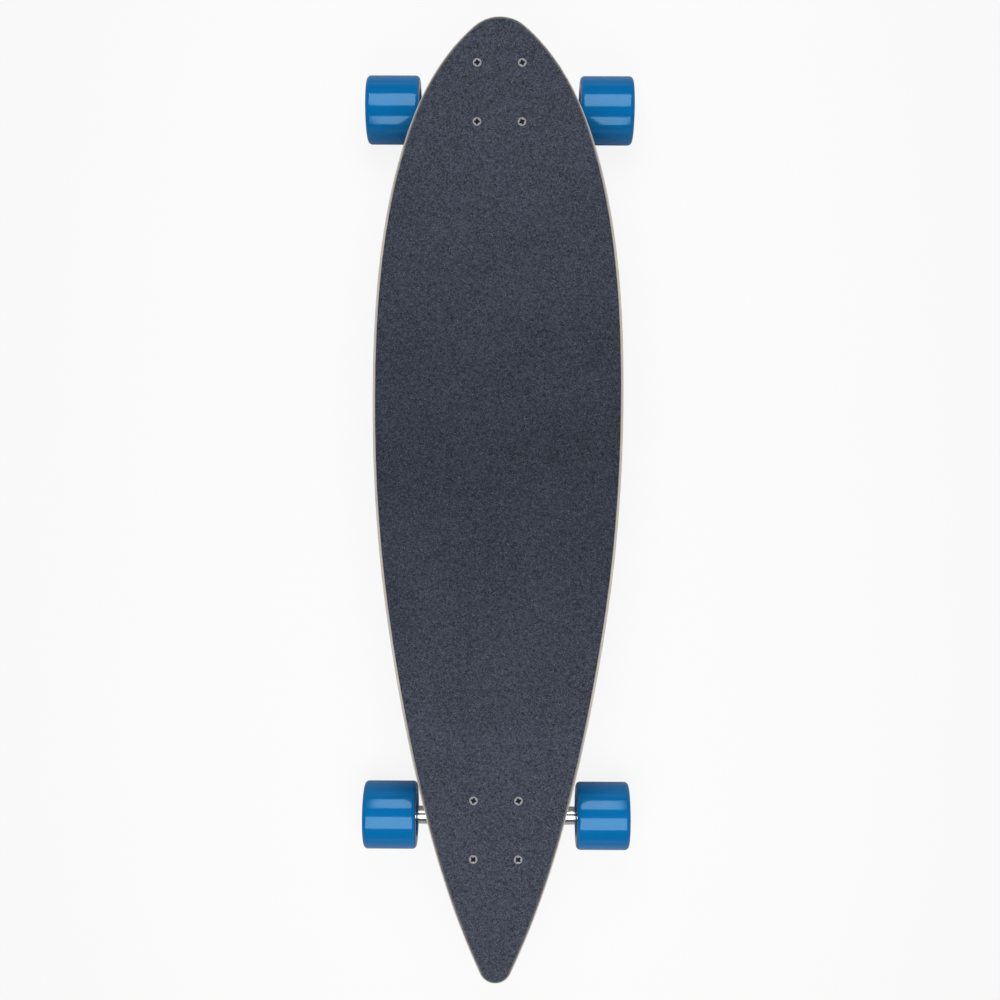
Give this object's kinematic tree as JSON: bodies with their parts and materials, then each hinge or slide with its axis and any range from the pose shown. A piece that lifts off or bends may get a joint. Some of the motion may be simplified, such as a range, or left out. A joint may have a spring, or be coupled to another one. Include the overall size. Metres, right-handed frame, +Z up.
{
  "type": "longboard skateboard",
  "caption": "Pintail longboard skateboard: cambered wooden deck with grip tape on reverse-kingpin trucks that steer about angled pivots and carry urethane wheels on ball bearings.",
  "frame": {"origin": "on the ground below the middle of the deck, on its centreline", "axes": "+Y to the nose, +X to the rider's right when facing the nose, +Z up"},
  "size_m": [0.2566, 0.889, 0.1193],
  "materials": {
    "maple": "clear-lacquered maple ply",
    "grip": "coarse slate-grey abrasive",
    "riser_rubber": "matt black",
    "cast_aluminium": "tumbled and polished",
    "pivot_plastic": "moulded",
    "zinc_steel": "zinc plated",
    "bright_steel": "bright plated",
    "axle_steel": "ground",
    "bushing_urethane": "satin cast urethane",
    "wheel_urethane": "glossy cast urethane",
    "bearing_steel": "ground and polished",
    "cage_plastic": "moulded",
    "shield_steel": "pressed"
  },
  "bodies": {
    "deck": {"deck": "maple", "grip_tape": "grip", "front_riser_pad": "riser_rubber", "front_baseplate": "cast_aluminium", "front_pivot_cup": "pivot_plastic", "front_kingpin": "zinc_steel", "front_kingpin_nut": "zinc_steel", "front_bushing_washers": "zinc_steel", "front_board_side_bushing": "bushing_urethane", "front_road_side_bushing": "bushing_urethane", "front_deck_bolts": "bright_steel", "front_deck_nuts": "zinc_steel", "rear_riser_pad": "riser_rubber", "rear_baseplate": "cast_aluminium", "rear_pivot_cup": "pivot_plastic", "rear_kingpin": "zinc_steel", "rear_kingpin_nut": "zinc_steel", "rear_bushing_washers": "zinc_steel", "rear_board_side_bushing": "bushing_urethane", "rear_road_side_bushing": "bushing_urethane", "rear_deck_bolts": "bright_steel", "rear_deck_nuts": "zinc_steel"},
    "front_hanger": {"front_hanger": "cast_aluminium", "front_axle": "axle_steel", "front_axle_nuts": "zinc_steel", "front_speed_washers": "zinc_steel", "front_left_bearing_inner_rings": "bearing_steel", "front_left_bearing_spacer": "axle_steel", "front_right_bearing_inner_rings": "bearing_steel", "front_right_bearing_spacer": "axle_steel"},
    "front_left_wheel": {"front_left_wheel": "wheel_urethane", "front_left_bearing_outer_rings": "bearing_steel", "front_left_bearing_shields": "shield_steel"},
    "front_left_balls": {"front_left_bearing_balls": "bearing_steel", "front_left_bearing_cages": "cage_plastic"},
    "front_right_wheel": {"front_right_wheel": "wheel_urethane", "front_right_bearing_outer_rings": "bearing_steel", "front_right_bearing_shields": "shield_steel"},
    "front_right_balls": {"front_right_bearing_balls": "bearing_steel", "front_right_bearing_cages": "cage_plastic"},
    "rear_hanger": {"rear_hanger": "cast_aluminium", "rear_axle": "axle_steel", "rear_axle_nuts": "zinc_steel", "rear_speed_washers": "zinc_steel", "rear_left_bearing_inner_rings": "bearing_steel", "rear_left_bearing_spacer": "axle_steel", "rear_right_bearing_inner_rings": "bearing_steel", "rear_right_bearing_spacer": "axle_steel"},
    "rear_left_wheel": {"rear_left_wheel": "wheel_urethane", "rear_left_bearing_outer_rings": "bearing_steel", "rear_left_bearing_shields": "shield_steel"},
    "rear_left_balls": {"rear_left_bearing_balls": "bearing_steel", "rear_left_bearing_cages": "cage_plastic"},
    "rear_right_wheel": {"rear_right_wheel": "wheel_urethane", "rear_right_bearing_outer_rings": "bearing_steel", "rear_right_bearing_shields": "shield_steel"},
    "rear_right_balls": {"rear_right_bearing_balls": "bearing_steel", "rear_right_bearing_cages": "cage_plastic"}
  },
  "joints": [
    {"name": "front_steer", "type": "hinge", "parent": "deck", "child": "front_hanger", "pos_m": [0, 0.39406, 0.0523], "axis": [0, 0.7071, 0.7071], "range_deg": [-15, 15], "stiffness_Nm_per_rad": 40, "deforming": ["front_board_side_bushing", "front_road_side_bushing"]},
    {"name": "front_left_spin", "type": "hinge", "parent": "front_hanger", "child": "front_left_wheel", "pos_m": [-0.1028, 0.3785, 0.0325], "axis": [1, 0, 0], "continuous": true},
    {"name": "front_left_ball_spin", "type": "hinge", "parent": "front_hanger", "child": "front_left_balls", "pos_m": [-0.1028, 0.3785, 0.0325], "axis": [1, 0, 0], "continuous": true},
    {"name": "front_right_spin", "type": "hinge", "parent": "front_hanger", "child": "front_right_wheel", "pos_m": [0.1028, 0.3785, 0.0325], "axis": [1, 0, 0], "continuous": true},
    {"name": "front_right_ball_spin", "type": "hinge", "parent": "front_hanger", "child": "front_right_balls", "pos_m": [0.1028, 0.3785, 0.0325], "axis": [1, 0, 0], "continuous": true},
    {"name": "rear_steer", "type": "hinge", "parent": "deck", "child": "rear_hanger", "pos_m": [0, -0.32206, 0.0523], "axis": [0, -0.7071, 0.7071], "range_deg": [-15, 15], "stiffness_Nm_per_rad": 40, "deforming": ["rear_board_side_bushing", "rear_road_side_bushing"]},
    {"name": "rear_left_spin", "type": "hinge", "parent": "rear_hanger", "child": "rear_left_wheel", "pos_m": [-0.1028, -0.3065, 0.0325], "axis": [1, 0, 0], "continuous": true},
    {"name": "rear_left_ball_spin", "type": "hinge", "parent": "rear_hanger", "child": "rear_left_balls", "pos_m": [-0.1028, -0.3065, 0.0325], "axis": [1, 0, 0], "continuous": true},
    {"name": "rear_right_spin", "type": "hinge", "parent": "rear_hanger", "child": "rear_right_wheel", "pos_m": [0.1028, -0.3065, 0.0325], "axis": [1, 0, 0], "continuous": true},
    {"name": "rear_right_ball_spin", "type": "hinge", "parent": "rear_hanger", "child": "rear_right_balls", "pos_m": [0.1028, -0.3065, 0.0325], "axis": [1, 0, 0], "continuous": true}
  ],
  "couplings": [
    {"joint": "front_left_ball_spin", "follows": "front_left_spin", "ratio": 0.63233},
    {"joint": "front_right_ball_spin", "follows": "front_right_spin", "ratio": 0.63233},
    {"joint": "rear_left_ball_spin", "follows": "rear_left_spin", "ratio": 0.63233},
    {"joint": "rear_right_ball_spin", "follows": "rear_right_spin", "ratio": 0.63233}
  ]
}
